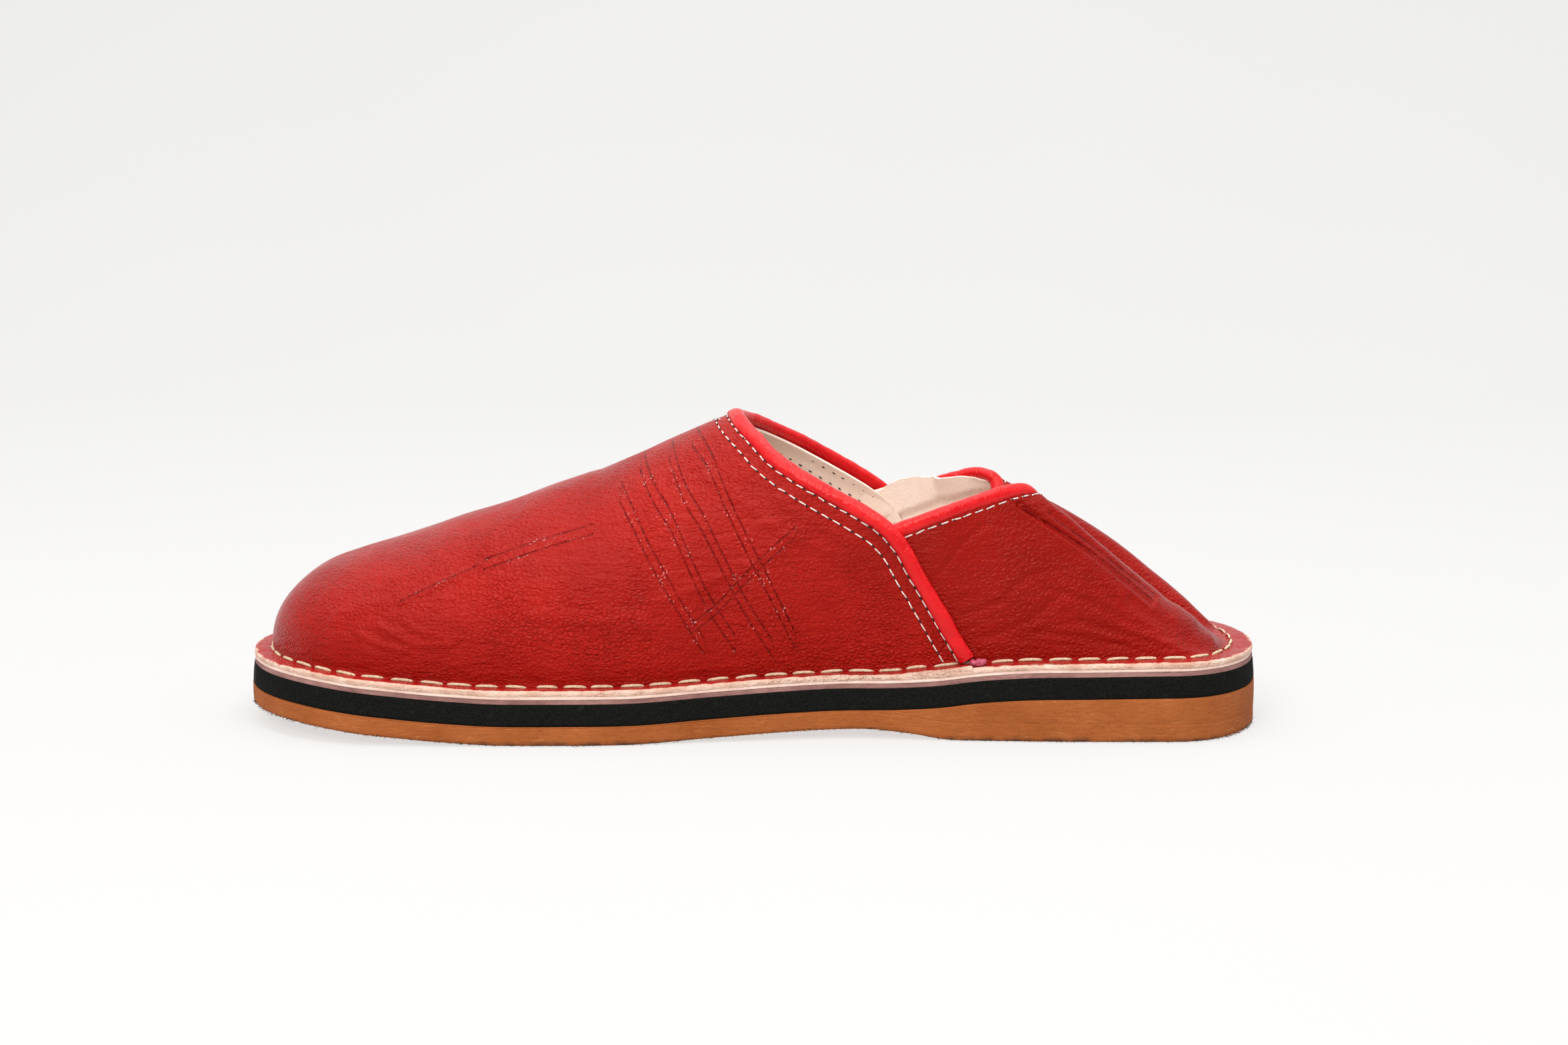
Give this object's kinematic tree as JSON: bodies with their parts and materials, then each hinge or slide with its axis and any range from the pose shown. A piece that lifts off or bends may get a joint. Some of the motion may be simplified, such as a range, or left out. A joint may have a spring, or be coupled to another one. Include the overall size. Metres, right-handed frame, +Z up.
{
  "type": "babouche slipper",
  "caption": "Leather babouche slipper with a hollow upper on a layered rubber and foam sole, rolled bindings along its edges and a heel trodden down inside.",
  "frame": {"origin": "centre of the shoe's bounding box on the floor", "axes": "+X from toe to heel, +Y to the outer side of the foot, +Z up"},
  "size_m": [0.29, 0.0988, 0.0887],
  "materials": {
    "tan_rubber": "matt cut rubber with a fibrous edge",
    "black_foam": "matt cut foam",
    "brown_board": "raw cut board edge",
    "natural_leather": "undyed suede side of lining leather",
    "red_leather": "dyed grain leather with a soft polish",
    "bright_leather": "smooth glossy binding leather"
  },
  "bodies": {
    "root": {"outsole": "tan_rubber", "heel_lift": "tan_rubber", "midsole": "black_foam", "insole_board": "brown_board", "insole": "natural_leather", "upper": "red_leather", "vamp_binding": "bright_leather", "collar_binding": "bright_leather"}
  },
  "joints": []
}
